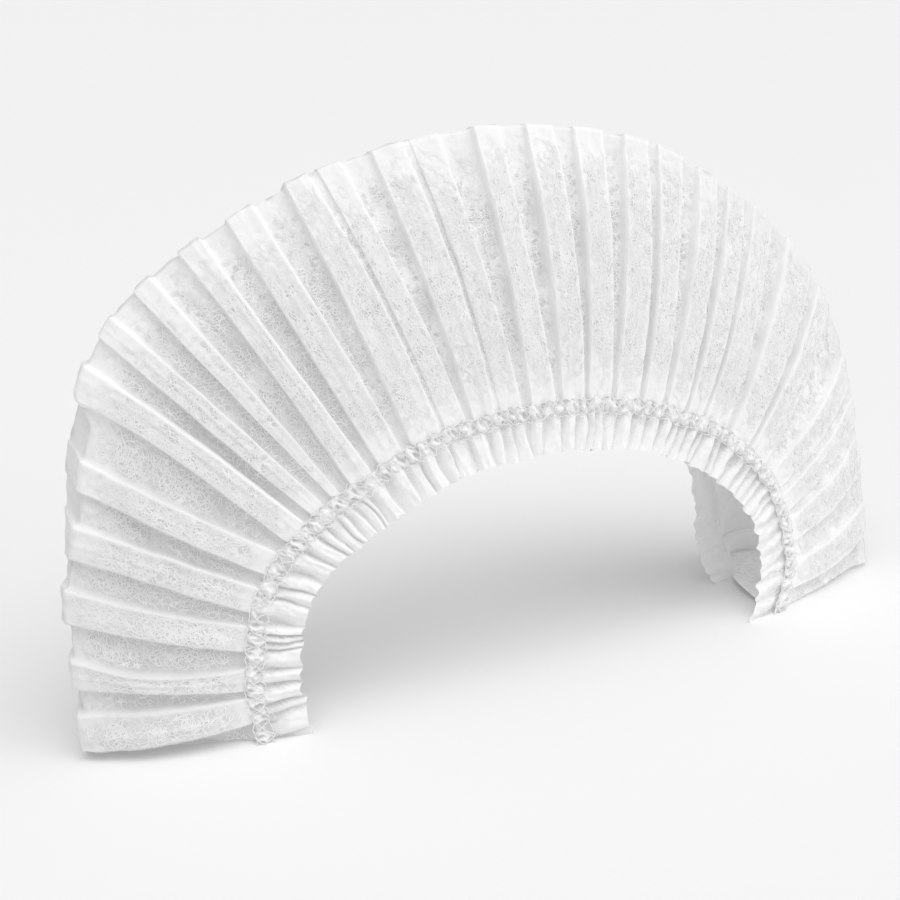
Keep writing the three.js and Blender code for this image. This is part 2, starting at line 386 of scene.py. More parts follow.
@dataclass(frozen=True)
class NodePen:
    """Adds nodes to a tree and joins them."""

    tree: bpy.types.NodeTree

    def put(self, value: Value, socket: bpy.types.NodeSocket) -> None:
        """Links a value that is a socket to an input, or sets the input to a constant."""
        if isinstance(value, bpy.types.NodeSocket):
            self.tree.links.new(value, socket)
        else:
            socket.default_value = value

    def fill(self, node: bpy.types.Node, values: dict[str, Value]) -> None:
        """Links or sets a node's inputs by their names."""
        for name, value in values.items():
            self.put(value, node.inputs[name])

    def position(self) -> bpy.types.NodeSocket:
        """The place on the object, in metres."""
        return self.tree.nodes.new("ShaderNodeTexCoord").outputs["Object"]

    def attribute(self, name: str) -> bpy.types.NodeSocket:
        """The values of one of the mesh's own attributes."""
        node = self.tree.nodes.new("ShaderNodeAttribute")
        node.attribute_name = name
        return node.outputs["Fac"]

    def math(self, operation: str, *values: Value, clamp: bool = False) -> bpy.types.NodeSocket:
        """One Math node.

        Args:
            operation: Its operation.
            values: A socket or a number for each input.
            clamp: Whether its result stays between 0 and 1.

        Returns:
            Its output.
        """
        node = self.tree.nodes.new("ShaderNodeMath")
        node.operation = operation
        node.use_clamp = clamp
        for value, socket in zip(values, node.inputs):
            self.put(value, socket)
        return node.outputs[0]

    def mix(self, kind: str, factor: Value, first: Value, second: Value) -> bpy.types.NodeSocket:
        """One Mix node.

        Args:
            kind: Its data type.
            factor: From 0 for the first value to 1 for the second.
            first: The first value.
            second: The second value.

        Returns:
            Its output.
        """
        node = self.tree.nodes.new("ShaderNodeMix")
        node.data_type = kind
        self.fill(node, {"Factor": factor, "A": first, "B": second})
        return node.outputs["Result"]

    def noise(self, place: bpy.types.NodeSocket, cell: float, detail: float) -> bpy.types.ShaderNode:
        """One Noise node.

        Args:
            place: The position that it reads.
            cell: Size of its cells, in millimetres.
            detail: Its levels of finer noise.

        Returns:
            The node.
        """
        node = self.tree.nodes.new("ShaderNodeTexNoise")
        self.fill(node, {"Scale": 1 / (cell * MM), "Detail": detail, "Vector": place})
        return node

    def bump(self, height: bpy.types.NodeSocket, strength: float, depth: float) -> bpy.types.NodeSocket:
        """One Bump node.

        Args:
            height: The height that it reads.
            strength: How strongly it shows.
            depth: How deep it is, in millimetres.

        Returns:
            The normal.
        """
        node = self.tree.nodes.new("ShaderNodeBump")
        self.fill(node, {"Strength": strength, "Distance": depth * MM, "Height": height})
        return node.outputs["Normal"]

    def split(self, colour: bpy.types.NodeSocket) -> list[bpy.types.NodeSocket]:
        """The three channels of a colour."""
        node = self.tree.nodes.new("ShaderNodeSeparateColor")
        self.put(colour, node.inputs["Color"])
        return [node.outputs[name] for name in ("Red", "Green", "Blue")]


def new_material(name: str) -> tuple[bpy.types.Material, NodePen, bpy.types.ShaderNode]:
    """A new material, a pen for its nodes and its Principled node."""
    material = bpy.data.materials.new(name)
    material.use_nodes = True
    return material, NodePen(material.node_tree), material.node_tree.nodes["Principled BSDF"]


@dataclass(frozen=True)
class FibreWeb:
    """The bonded web of curled filaments, as a shader group that other finishes use."""

    name: str = "fibre_web"
    half_width: float = 0.13
    fine: float = 1.7
    coarse: float = 7.0
    wander: float = 2.2
    speck_gain: float = 6.0
    speck_start: float = -3.1

    def group(self) -> bpy.types.ShaderNodeTree:
        """The group, built once: a position in metres in, masks of strands, clouds and specks out."""
        if self.name in bpy.data.node_groups:
            return bpy.data.node_groups[self.name]
        tree = bpy.data.node_groups.new(self.name, "ShaderNodeTree")
        tree.interface.new_socket("Position", in_out="INPUT", socket_type="NodeSocketVector")
        for name in ("Strands", "Cloud", "Specks"):
            tree.interface.new_socket(name, in_out="OUTPUT", socket_type="NodeSocketFloat")
        pen = NodePen(tree)
        start = tree.nodes.new("NodeGroupInput").outputs["Position"]
        end = tree.nodes.new("NodeGroupOutput")
        fine = pen.noise(start, self.fine, 0.0)
        coarse = pen.noise(start, self.coarse, 1.5)
        curls, wanders = (pen.split(noise.outputs["Color"]) for noise in (fine, coarse))
        total = None
        for i, (x, y, z, spacing, curl) in enumerate(FILAMENTS):
            run = tree.nodes.new("ShaderNodeVectorMath")
            run.operation = "DOT_PRODUCT"
            pen.put(start, run.inputs[0])
            pen.put(tuple(way / (spacing * MM) for way in (x, y, z)), run.inputs[1])
            bent = pen.math("MULTIPLY_ADD", curls[i % 3], curl, run.outputs["Value"])
            bent = pen.math("MULTIPLY_ADD", wanders[(i + 1) % 3], self.wander * curl, bent)
            away = pen.math("PINGPONG", bent, 0.5)
            line = pen.math("MULTIPLY_ADD", away, -spacing / self.half_width, 1.0, clamp=True)
            total = line if total is None else pen.math("ADD", total, line)
        total.node.use_clamp = True
        specks = pen.math("MULTIPLY_ADD", fine.outputs["Fac"], self.speck_gain, self.speck_start, clamp=True)
        pen.fill(end, {"Strands": total, "Cloud": coarse.outputs["Fac"], "Specks": specks})
        return tree


@dataclass(frozen=True)
class WebFinish:
    """White non-woven cloth: strands over a film that is thinner where fewer layers lie, and painted grey
    there as shade of the dim inside.
    """

    name: str
    # The thin colour is painted shade: the dim inside of the cap as seen through thin cloth.
    thin_shade: tuple[float, float, float] = (0.75, 0.75, 0.752)
    thick: tuple[float, float, float] = (0.955, 0.955, 0.955)
    strand: tuple[float, float, float] = (0.97, 0.97, 0.97)
    thin_alpha: float = 0.68
    thick_alpha: float = 0.97
    cloudiness: float = 0.2
    roughness: float = 0.8
    shine: float = 0.3
    # Emission is painted light, in place of light that passes through the cloth, stronger where it is seen
    # from inside.
    painted_glow: float = 0.04
    painted_inner_glow: float = 0.06
    specks: float = 0.9
    crumple: float = 2.2
    relief: float = 0.35
    relief_depth: float = 0.8

    def material(self) -> bpy.types.Material:
        """The finished material."""
        material, pen, shader = new_material(self.name)
        place = pen.position()
        web = pen.tree.nodes.new("ShaderNodeGroup")
        web.node_tree = FibreWeb().group()
        pen.put(place, web.inputs["Position"])
        cover, shown = pen.attribute("cover"), pen.attribute("web")
        strands = pen.math("MULTIPLY", web.outputs["Strands"], shown)
        specks = pen.math("MULTIPLY", web.outputs["Specks"], shown)
        laid = pen.math("MULTIPLY_ADD", specks, -self.specks, cover, clamp=True)
        film_alpha = pen.math("MULTIPLY_ADD", laid, self.thick_alpha - self.thin_alpha, self.thin_alpha)
        patchy = pen.math("MULTIPLY", pen.math("SUBTRACT", web.outputs["Cloud"], 0.5), shown)
        film_alpha = pen.math("MULTIPLY_ADD", patchy, 2 * self.cloudiness, film_alpha)
        # Where the cloth is thin the film turns grey: painted shade of the dim inside that shows through.
        film = pen.mix("RGBA", laid, (*self.thin_shade, 1), (*self.thick, 1))
        colour = pen.mix("RGBA", strands, film, (*self.strand, 1))
        crumple = pen.noise(place, self.crumple, 3.0).outputs["Fac"]
        inner = pen.tree.nodes.new("ShaderNodeNewGeometry").outputs["Backfacing"]
        # Painted light: the cloth glows in its own colour, stronger on inner faces, in place of light passing
        # through it.
        pen.fill(shader, {
            "Base Color": colour,
            "Emission Color": colour,
            "Emission Strength": pen.math("MULTIPLY_ADD", inner, self.painted_inner_glow - self.painted_glow, self.painted_glow),
            "Alpha": pen.mix("FLOAT", strands, film_alpha, 1.0),
            "Normal": pen.bump(crumple, self.relief, self.relief_depth),
            "Roughness": self.roughness,
            "Specular IOR Level": self.shine,
        })
        material.cycles.emission_sampling = "NONE"
        return material


@dataclass(frozen=True)
class ThreadFinish:
    """Fine white sewing thread with a soft shine."""

    name: str
    colour: tuple[float, float, float] = (0.96, 0.96, 0.955)
    roughness: float = 0.55
    twist: float = 0.35
    shade: float = 0.86
    relief: float = 0.4
    relief_depth: float = 0.1

    def material(self) -> bpy.types.Material:
        """The finished material."""
        material, pen, shader = new_material(self.name)
        twist = pen.noise(pen.position(), self.twist, 2.0).outputs["Fac"]
        # The twist noise darkens the thread where its bump sinks: painted shade in the twist's grooves.
        shaded = (*(self.shade * channel for channel in self.colour), 1)
        pen.fill(shader, {
            "Base Color": pen.mix("RGBA", twist, shaded, (*self.colour, 1)),
            "Normal": pen.bump(twist, self.relief, self.relief_depth),
            "Roughness": self.roughness,
        })
        return material


@dataclass
class MeshDraft:
    """Points and faces, in millimetres, that are collected into one mesh."""

    name: str
    points: list[np.ndarray] = field(default_factory=list)
    faces: list[np.ndarray] = field(default_factory=list)
    slots: list[np.ndarray] = field(default_factory=list)
    covers: list[np.ndarray] = field(default_factory=list)
    webs: list[np.ndarray] = field(default_factory=list)
    count: int = 0

    def add(
        self,
        points: np.ndarray,
        faces: np.ndarray,
        slot: int = 0,
        cover: np.ndarray | float = 1.0,
        web: np.ndarray | float = 0.2,
    ) -> None:
        """Adds one patch.

        Args:
            points: Rows of x, y and z.
            faces: Rows of four indices into these points.
            slot: Material slot of the patch.
            cover: How dense the cloth is at each point, from 0 to 1; where it is low the finish also paints
                shade.
            web: How clearly its strands show at each point, from 0 to 1.
        """
        self.points.append(points.reshape(-1, 3))
        self.covers.append(np.broadcast_to(cover, points.shape[:-1]).ravel())
        self.webs.append(np.broadcast_to(web, points.shape[:-1]).ravel())
        self.faces.append(faces + self.count)
        self.slots.append(np.full(len(faces), slot))
        self.count += len(self.points[-1])

    def build(self, materials: list[bpy.types.Material]) -> bpy.types.Object:
        """Makes the object, at the origin, with smooth faces.

        Args:
            materials: One for each slot.

        Returns:
            The new object.
        """
        mesh = bpy.data.meshes.new(self.name)
        points = np.concatenate(self.points) * MM
        faces = np.concatenate(self.faces)
        mesh.vertices.add(len(points))
        mesh.vertices.foreach_set("co", points.astype(np.float32).ravel())
        mesh.loops.add(faces.size)
        mesh.loops.foreach_set("vertex_index", faces.astype(np.int32).ravel())
        mesh.polygons.add(len(faces))
        mesh.polygons.foreach_set("loop_start", np.arange(0, faces.size, 4, dtype=np.int32))
        mesh.polygons.foreach_set("material_index", np.concatenate(self.slots).astype(np.int32))
        mesh.update(calc_edges=True)
        mesh.validate()
        for name, values in (("cover", self.covers), ("web", self.webs)):
            attribute = mesh.attributes.new(name, "FLOAT", "POINT")
            attribute.data.foreach_set("value", np.concatenate(values).astype(np.float32))
        for material in materials:
            mesh.materials.append(material)
        mesh.shade_smooth()
        piece = bpy.data.objects.new(self.name, mesh)
        bpy.context.scene.collection.objects.link(piece)
        return piece


def grid_faces(columns: int, rows: int, closed: bool = False) -> np.ndarray:
    """Quads over a grid of points stored column after column.

    Args:
        columns: How many columns.
        rows: How many rows.
        closed: Whether each column's last row joins its first.

    Returns:
        Rows of four indices.
    """
    i, j = np.meshgrid(np.arange(columns - 1), np.arange(rows if closed else rows - 1), indexing="ij")
    k = (j + 1) % rows
    return np.stack([i * rows + j, (i + 1) * rows + j, (i + 1) * rows + k, i * rows + k], -1).reshape(-1, 4)


@dataclass
class SheetGrid:
    """The sheet before it is pleated, as arrays that broadcast to columns by rows."""

    pleat: np.ndarray
    height: np.ndarray
    overhang: np.ndarray
    dense: np.ndarray
    share: np.ndarray
    reach: np.ndarray
    offset: np.ndarray
    depth: np.ndarray
    turn: np.ndarray
    frill: np.ndarray
    in_frill: np.ndarray
    wave: np.ndarray
    tall: np.ndarray

    @property
    def front(self) -> np.ndarray:
        """Which rows lie in the front half."""
        return self.depth < 0.5

    @property
    def window(self) -> np.ndarray:
        """From 0 at the elastic over 1 in the middle of the wall to 0 at the fold."""
        return np.sin(math.pi * self.reach)

    @property
    def right(self) -> np.ndarray:
        """From 0 on the strip to 1 on its right end."""
        return Stretch.RIGHT_END.at(self.share)

    def ripple(self, length: float, seed: int, rise: np.ndarray) -> np.ndarray:
        """Ripples along the strip.

        Args:
            length: Their length, in millimetres.
            seed: Their seed.
            rise: How far up the sheet each point lies, in millimetres.

        Returns:
            Their height at each point.
        """
        return Ripple(length, seed).at(self.share * STRIP, rise)

    def wall_ripple(self, length: float, seed: int) -> np.ndarray:
        """Ripples over both walls, of this length in millimetres and with this seed."""
        return self.ripple(length, seed, WALL * self.reach + APART * self.depth)


@dataclass
class CapCloth:
    """The pleated strip: frill, elastic channel, wall, crown, wall, channel and frill in one sheet."""

    arch: Arch
    plan: PleatPlan
    frill_length: float = 11.5
    band_width: float = 4.0
    gathers: int = 60
    fan: float = 0.18
    frill_rows: int = 9
    band_rows: int = 4
    wall_rows: int = 26
    crown_rows: int = 6
    panel_columns: int = 9
    crown_drop: float = 3.0
    fold_back: float = 4.5
    lip: float = 2.2
    bulge: float = 6.0
    heel: float = 1.3
    swing: float = 0.18
    notch: float = 1.2
    lowest: float = 0.05
    foot: float = 0.012
    seed: int = 21
    lobe_seeds: tuple[int, int] = (31, 32)
    flat: tuple[float, float] = (0.185, 0.4)

    def profile(self) -> tuple[np.ndarray, np.ndarray, np.ndarray, np.ndarray]:
        """The rows from the front free edge over the crown to the back free edge.

        Returns:
            For each row its reach, offset, depth, and turn from -1 facing front over 0 to 1 facing back.
        """
        half = self.band_width / 2
        frill = np.linspace(-self.frill_length, -half, self.frill_rows, endpoint=False)
        band = np.linspace(-half, half, self.band_rows, endpoint=False)
        wall = np.append(np.linspace(0, 0.985, self.wall_rows), 1.0)
        reach = np.concatenate([0 * frill, 0 * band, wall])
        offset = np.concatenate([frill, band, half * (1 - wall)])
        turn = np.full(len(reach), -1.0)
        turn[-2:] = -0.85, -0.65
        crown = np.linspace(0, 1, self.crown_rows + 2)[1:-1]
        crown[0], crown[-1] = 0.06, 0.94
        depth = np.concatenate([0 * reach, crown, 0 * reach + 1])
        reach = np.concatenate([reach, 0 * crown + 1, reach[::-1]])
        offset = np.concatenate([offset, 0.4 * np.sin(math.pi * crown), offset[::-1]])
        turn = np.concatenate([turn, 0.6 * (2 * crown - 1), -turn[::-1]])
        return reach, offset, depth, turn

    def lobes(self, share: np.ndarray, frill: np.ndarray, seed: int) -> tuple[np.ndarray, np.ndarray]:
        """The frill's own gathers.

        Args:
            share: The whole grid's shares of the way along the strip.
            frill: For each row the way from the elastic, at 0, to the free edge, at 1.
            seed: Sets the lobes' widths and how each one fans out.

        Returns:
            The place across a lobe as a wave from 0 between two lobes to 1 on a lobe, and the lobe's height.
        """
        rng = np.random.default_rng(seed)
        run = np.concatenate([[0], np.cumsum(rng.uniform(0.4, 1.6, self.gathers))])
        fan = self.fan * rng.uniform(-1, 1, self.gathers + 1)
        count = np.arange(self.gathers + 1)
        lobe = [np.interp(row, (run + out * fan) / run[-1], count) for row, out in zip(share.T, frill)]
        lobe = np.stack(lobe, 1)
        own = np.minimum(lobe.astype(int), self.gathers)
        part = (lobe - own).clip(0, 1)
        ridge = rng.uniform(0.3, 0.85, self.gathers + 1)[own]
        tall = rng.uniform(0.45, 1.25, self.gathers + 1)[own]
        slope = rng.uniform(-0.6, 0.6, self.gathers + 1)[own]
        flat = np.minimum(part / ridge, (1 - part) / (1 - ridge))
        flat = np.minimum(1.7 * flat, 1) * (0.8 + slope * (part - 0.5))
        return flat + Stretch.LOBES_ROUND.at(share) * (np.sin(math.pi * part) ** 2 - flat), tall

    def grid(self) -> SheetGrid:
        """The sheet's columns and rows, with the frill's lobes."""
        creases, *columns = self.plan.strips()
        reach, offset, depth, turn = self.profile()
        elastic, middle, fold = (creases[:, i, None] for i in range(3))
        share = elastic + reach * (fold - elastic - 2 * (elastic + fold - 2 * middle) * (1 - reach))
        half = self.band_width / 2
        frill = np.clip(-(offset + half) / (self.frill_length - half), 0, 1)
        in_frill = (offset < half) & (reach == 0)
        slant = (0.012 * Stretch.SLANT_TURNS.at(share) - 0.007) * frill
        front, back = (self.lobes(share + slant, frill, seed) for seed in self.lobe_seeds)
        lobes = [np.where(depth < 0.5, a, b) for a, b in zip(front, back)]
        columns = [values[:, None] for values in columns]
        return SheetGrid(*columns, share, reach, offset, depth, turn, frill, in_frill, *lobes)

    def stance(self, grid: SheetGrid) -> tuple[np.ndarray, np.ndarray, np.ndarray, np.ndarray]:
        """The sheet before it is pleated.

        Args:
            grid: Its columns and rows.

        Returns:
            Points, and the ways out of the sheet, along the strip and from elastic to fold.
        """
        share, depth = grid.share, grid.depth
        drop = self.crown_drop * np.sin(math.pi * share) ** 2 * depth
        back = self.fold_back * Stretch.FOLD_TURNS_BACK.at(share)
        drop = drop + back * (1 - Stretch.FOLD_STANDS_AGAIN.at(share)) * (1 - depth)
        drop = drop * ease(0.5, 1, grid.reach)
        short = Stretch.BACK_FRILL_SHORTENS.at(share) - Stretch.BACK_FRILL_LENGTHENS.at(share)
        short = short * (depth > 0.5) * (grid.offset < 0)
        offset = grid.offset * (1 - 0.55 * short) - drop
        points, across, outward = self.arch.place(share, grid.reach, offset, depth)
        angle = grid.turn[:, None] * math.pi / 2
        facing = across * np.sin(angle) + outward * np.cos(angle)
        step = np.gradient(points, axis=0)
        along = step / (np.linalg.norm(step, axis=-1, keepdims=True) + 1e-9)
        return points, facing, along, outward

    def pleats(self, grid: SheetGrid) -> tuple[np.ndarray, np.ndarray]:
        """The pleats of the walls and the crown.

        Args:
            grid: The sheet's columns and rows.

        Returns:
            How far each point lifts out of the sheet, and how far it shifts along the strip.
        """
        rng = np.random.default_rng(self.seed)
        reach, depth, right = grid.reach, grid.depth, grid.right
        phase = rng.uniform(0, 2 * math.pi, (len(PLEATS), 2))[grid.pleat[:, 0], :1]
        swing = 1 + self.swing * np.sin(4.4 * reach + phase + 1.5 * depth)
        lift = np.interp(reach, *RELIEF.T) * grid.height * swing * (1 - 0.35 * right)
        lift = lift * (1 - 0.55 * ease(0.1, 0.6, depth) * (reach == 1))
        lift = lift * (1 - 0.6 * right * ease(0.8, 1, reach))
        lift = lift * (1 - 0.55 * Stretch.CROWN_SMOOTHS.at(grid.share) * ease(0.86, 1, reach))
        shift = (0.3 + 0.7 * grid.window) * grid.overhang
        sway = Ripple(15, 17).at(WALL * reach + 50 * depth, 17.0 * grid.pleat)
        return lift, shift + 0.08 * sway * grid.window

    def ruffles(
        self, grid: SheetGrid, lift: np.ndarray, shift: np.ndarray
    ) -> tuple[np.ndarray, np.ndarray]:
        """Lets the pleats pass into the frill's lobes.

        Args:
            grid: The sheet's columns and rows.
            lift: How far the pleats lift each point.
            shift: How far they shift it.

        Returns:
            Lift and shift with the frill's own.
        """
        frill, right = grid.frill, grid.right
        loose = ease(-0.3, 0.35, frill)
        ruffle = np.where(grid.front, 1 - 0.82 * right, 0.3)
        own = (2 * grid.wave - 1) * grid.tall * ruffle * (1.6 - 0.8 * frill)
        uneven = grid.ripple(8, 27, grid.offset + APART * grid.depth)
        own = own + 0.3 * right * uneven * np.where(grid.front, 1, 0.4)
        lift = np.where(grid.in_frill, (1 - loose) * lift + loose * own, lift)
        shift = np.where(grid.in_frill, 0.3 * grid.ripple(9, 5, 7 * frill + 40 * grid.depth), shift)
        return lift, shift

    def crumples(self, grid: SheetGrid, lift: np.ndarray) -> np.ndarray:
        """Adds the small creases of walls, frill and fold.

        Args:
            grid: The sheet's columns and rows.
            lift: How far each point lifts without them.

        Returns:
            Lift with the creases.
        """
        reach, frill = grid.reach, grid.frill
        crease = grid.wall_ripple(5, 3) + grid.ripple(11, 4, 30 * reach + APART * grid.depth)
        fine = grid.ripple(3.2, 23, 6 * frill + APART * grid.depth)
        lift = lift + 0.11 * crease * ease(0, 0.1, reach)
        lift = lift + 0.14 * fine * (grid.in_frill * ease(0, 0.4, frill))
        return lift + 0.25 * grid.wall_ripple(6, 13) * ease(0.8, 0.97, reach)

    def free_edge(self, grid: SheetGrid) -> np.ndarray:
        """How far the frill's free edge draws in at each point, in millimetres."""
        edge = 30 * grid.depth
        notch = self.notch * grid.wave * grid.tall * (1 - Stretch.NOTCHES_END.at(grid.share)) * grid.front
        ragged = 0.35 * grid.ripple(6, 9, edge) - notch
        return grid.frill**2 * (ragged + 0.8 * grid.right * np.abs(grid.ripple(8, 29, edge)))

    def masks(self, grid: SheetGrid) -> tuple[np.ndarray, np.ndarray]:
        """What the finish reads.

        Args:
            grid: The sheet's columns and rows.

        Returns:
            For each point how dense the cloth is, which also sets how much shade is painted on it, and how
            clearly its strands show.
        """
        share, reach, depth = grid.share, grid.reach, grid.depth
        dense, window, right = grid.dense, grid.window, grid.right
        to_fold = ease(0.66, 0.95, reach)
        at_band = 1 - ease(0.02, 0.2, reach)
        pale = sum(more * ease(low, high, share) for more, low, high in PALE_VALLEYS)
        # Valleys are left thin and grey, the grey being painted shade; flat tops are denser and whiter.
        valley = 0.12 + 0.15 * at_band + (0.72 - pale) * to_fold + pale
        top = 0.62 + 0.3 * np.maximum(at_band, to_fold)
        # Creases are made whiter than the flat tops: doubled cloth there, and a painted highlight along the
        # crease.
        cover = valley + (top - valley) * np.minimum(dense / 0.72, 1) + 0.25 * ease(0.8, 1, dense)
        patch = grid.wall_ripple(13, 41)
        cover = cover + 0.2 * grid.wall_ripple(17, 43) * (1 - dense) * window
        closed = Stretch.PATCHES_CLOSE.at(share)
        cover = cover - 0.4 * (ease(-0.3, 1.0, patch) * (1 - dense) * window**2 * (1 - closed))
        worn = ease(0.3, 1.5, grid.wall_ripple(12, 47)) * (1 - right)
        cover = cover - 0.4 * worn * ease(0.6, 0.7, dense) * (1 - ease(0.8, 0.95, dense)) * window**2
        inside = Stretch.INSIDE_SHOWS.at(share) * ease(0.5, 1, depth)
        # Painted shade: the left end is darker and more see-through, fading out along the strip.
        cover = np.maximum(cover * (1 - 0.4 * (1 - Stretch.LEFT_THICKENS.at(share))), inside)
        cover = cover - 0.35 * to_fold * Stretch.FOLD_THINS.at(share)
        # The crown is thinner cloth, and greyer as painted shade.
        cover = np.where((depth > 0) & (depth < 1), 0.55, cover)
        web = 0.9 * (1 - at_band) * (1 - ease(0.78, 1, reach)) * (1 - 0.25 * dense) * (1 - 0.55 * right)
        patchy = 0.3 + 0.7 * ease(-0.8, 1.0, patch + 0.5 * (1 - dense) + worn)
        bank = np.abs(np.gradient(grid.height, axis=0))
        web = (0.1 + web) * patchy * (1 - ease(0.82, 0.98, dense)) * (1 - ease(0.05, 0.4, bank))
        web = web * (1 - inside)
        return self.frill_masks(grid, cover, web)

    def frill_masks(
        self, grid: SheetGrid, cover: np.ndarray, web: np.ndarray
    ) -> tuple[np.ndarray, np.ndarray]:
        """Puts the frill's own masks in: thinner cloth and painted shade between lobes and close to the
        elastic.

        Args:
            grid: The sheet's columns and rows.
            cover: How dense the cloth is elsewhere.
            web: How clearly its strands show elsewhere.

        Returns:
            Both masks for the whole sheet.
        """
        frill, wave = grid.frill, grid.wave
        # Painted shade, with thinner cloth, in the narrow valleys between lobes.
        gap = (1 - ease(0.1, 0.8 - 0.5 * frill, wave)) * (1 - 0.75 * frill)
        gap = gap * (1 - 0.5 * grid.right) * grid.front
        # Painted shade under the elastic, darker on the lower lobes.
        shade = (1 - ease(0.05, 0.6, frill)) * (1 - ease(0.5, 1.1, grid.tall)) * (1 - 0.5 * wave) * grid.front
        cover = np.where(grid.in_frill, 0.86 - gap - 0.8 * shade, cover)
        web = np.where(grid.in_frill, 0.3 * (1 - frill) * grid.front, web)
        return cover.clip(0, 1), web

    def points(self) -> tuple[np.ndarray, np.ndarray, np.ndarray]:
        """The sheet's points as a grid of columns by rows.

        Returns:
            Points in millimetres, and for each how dense the cloth is, which also sets its painted shade, and
            how clearly its strands show.
        """
        grid = self.grid()
        points, facing, along, outward = self.stance(grid)
        lift, shift = self.ruffles(grid, *self.pleats(grid))
        lift = self.crumples(grid, lift)
        points = points + facing * lift[..., None] + along * shift[..., None]
        points = points - outward * self.free_edge(grid)[..., None]
        points[..., 2] = np.maximum(points[..., 2], self.lowest)
        at_foot = 1 - ease(0, self.foot, np.minimum(grid.share, 1 - grid.share))
        points[..., 2] += self.heel * grid.reach * grid.front * at_foot
        return points, *self.masks(grid)

    def build(self, finish: WebFinish) -> bpy.types.Object:
        """Makes the sheet with its two end panels.

        Args:
            finish: Its finish.

        Returns:
            The cloth.
        """
        points, cover, web = self.points()
        columns, rows, _ = points.shape
        draft = MeshDraft("cap_cloth")
        draft.add(points, grid_faces(columns, rows), 0, cover, web)
        mouth = self.frill_rows + self.band_rows
        middle = rows // 2
        for end in (0, columns - 1):
            front = points[end, mouth:middle]
            back = points[end, ::-1][mouth:middle]
            step = np.linspace(0, 1, self.panel_columns + 2)[:, None, None]
            panel = front + (back - front) * step
            edge = np.exp(-np.arange(middle - mouth) / 2.0)
            swell = np.sin(math.pi * step[..., 0])
            panel[..., 0] += (-1 if end else 1) * self.bulge * swell**0.7 * edge
            panel[..., 2] = 0.06 + self.lip * swell**1.5 * edge
            faces = grid_faces(self.panel_columns + 2, middle - mouth)
            draft.add(panel, faces if end else faces[:, ::-1])
        piece = draft.build([finish.material()])
        bpy.ops.object.select_all(action="DESELECT")
        piece.select_set(True)
        bpy.context.view_layer.objects.active = piece
        bpy.ops.object.mode_set(mode="EDIT")
        bpy.ops.mesh.select_all(action="SELECT")
        bpy.ops.mesh.remove_doubles(threshold=0.01 * MM)
        bpy.ops.object.mode_set(mode="OBJECT")
        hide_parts("pleated_cloth")
        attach(piece, "root")
        return piece


